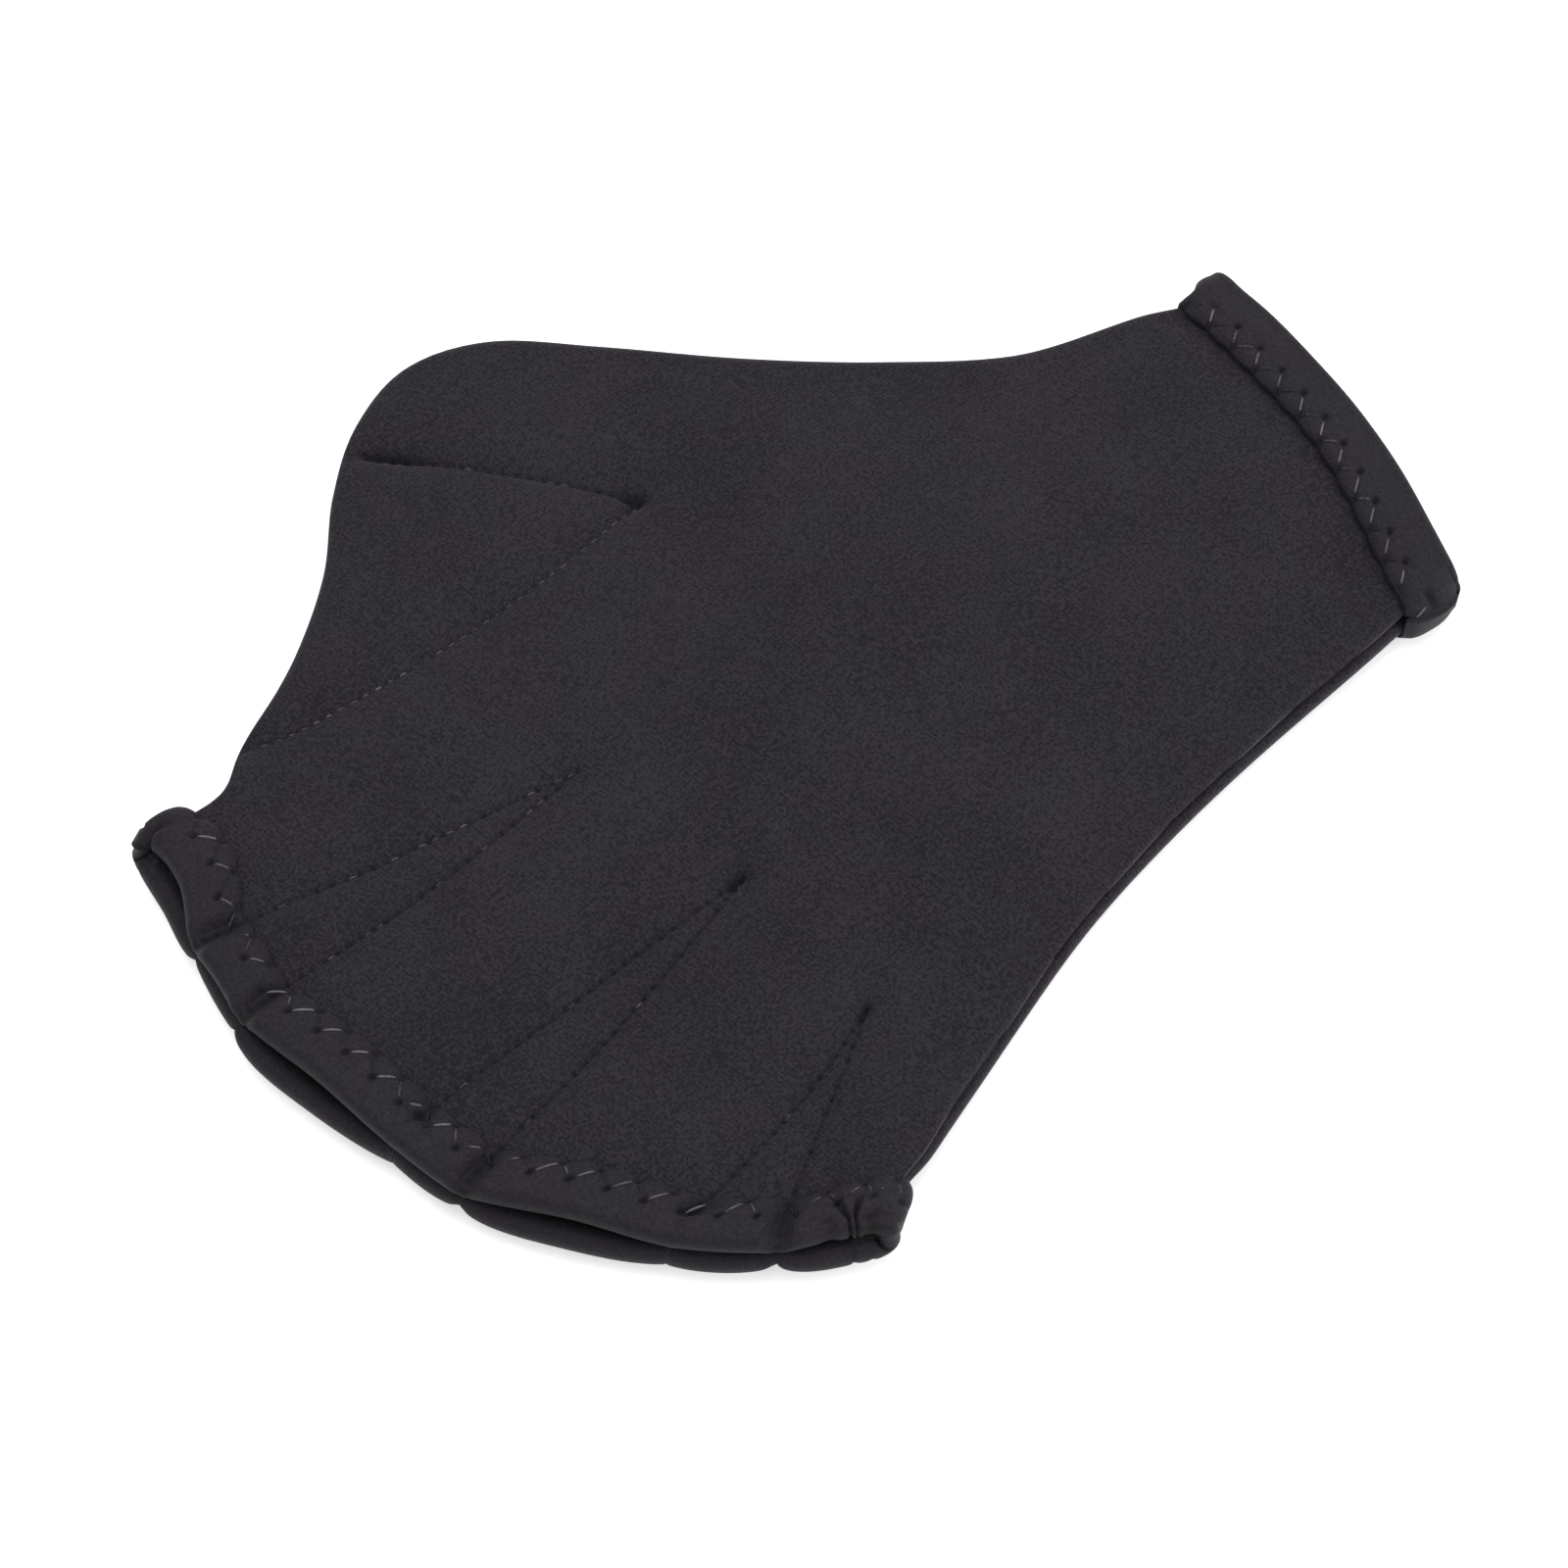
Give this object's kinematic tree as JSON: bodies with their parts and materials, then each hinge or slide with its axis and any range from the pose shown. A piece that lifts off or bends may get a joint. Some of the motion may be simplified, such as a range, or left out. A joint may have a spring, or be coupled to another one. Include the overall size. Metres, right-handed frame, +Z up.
{
  "type": "webbed swim glove",
  "caption": "Black neoprene webbed swim glove, fingertips open and thumb closed, with folded and zigzag stitched hems.",
  "frame": {"origin": "centre of the glove's box, on the surface that it lies on", "axes": "+X from the wrist to the fingers, +Y from the thumb to the little finger, +Z up"},
  "size_m": [0.2176, 0.1796, 0.0164],
  "materials": {
    "neoprene_face": "matte, fine charcoal knit",
    "neoprene_hem": "matte, smooth inner face folded out"
  },
  "bodies": {
    "root": {"upper_panel": "neoprene_face", "lower_panel": "neoprene_face", "upper_wrist_hem": "neoprene_hem", "lower_wrist_hem": "neoprene_hem", "upper_finger_hem": "neoprene_hem", "lower_finger_hem": "neoprene_hem"}
  },
  "joints": []
}
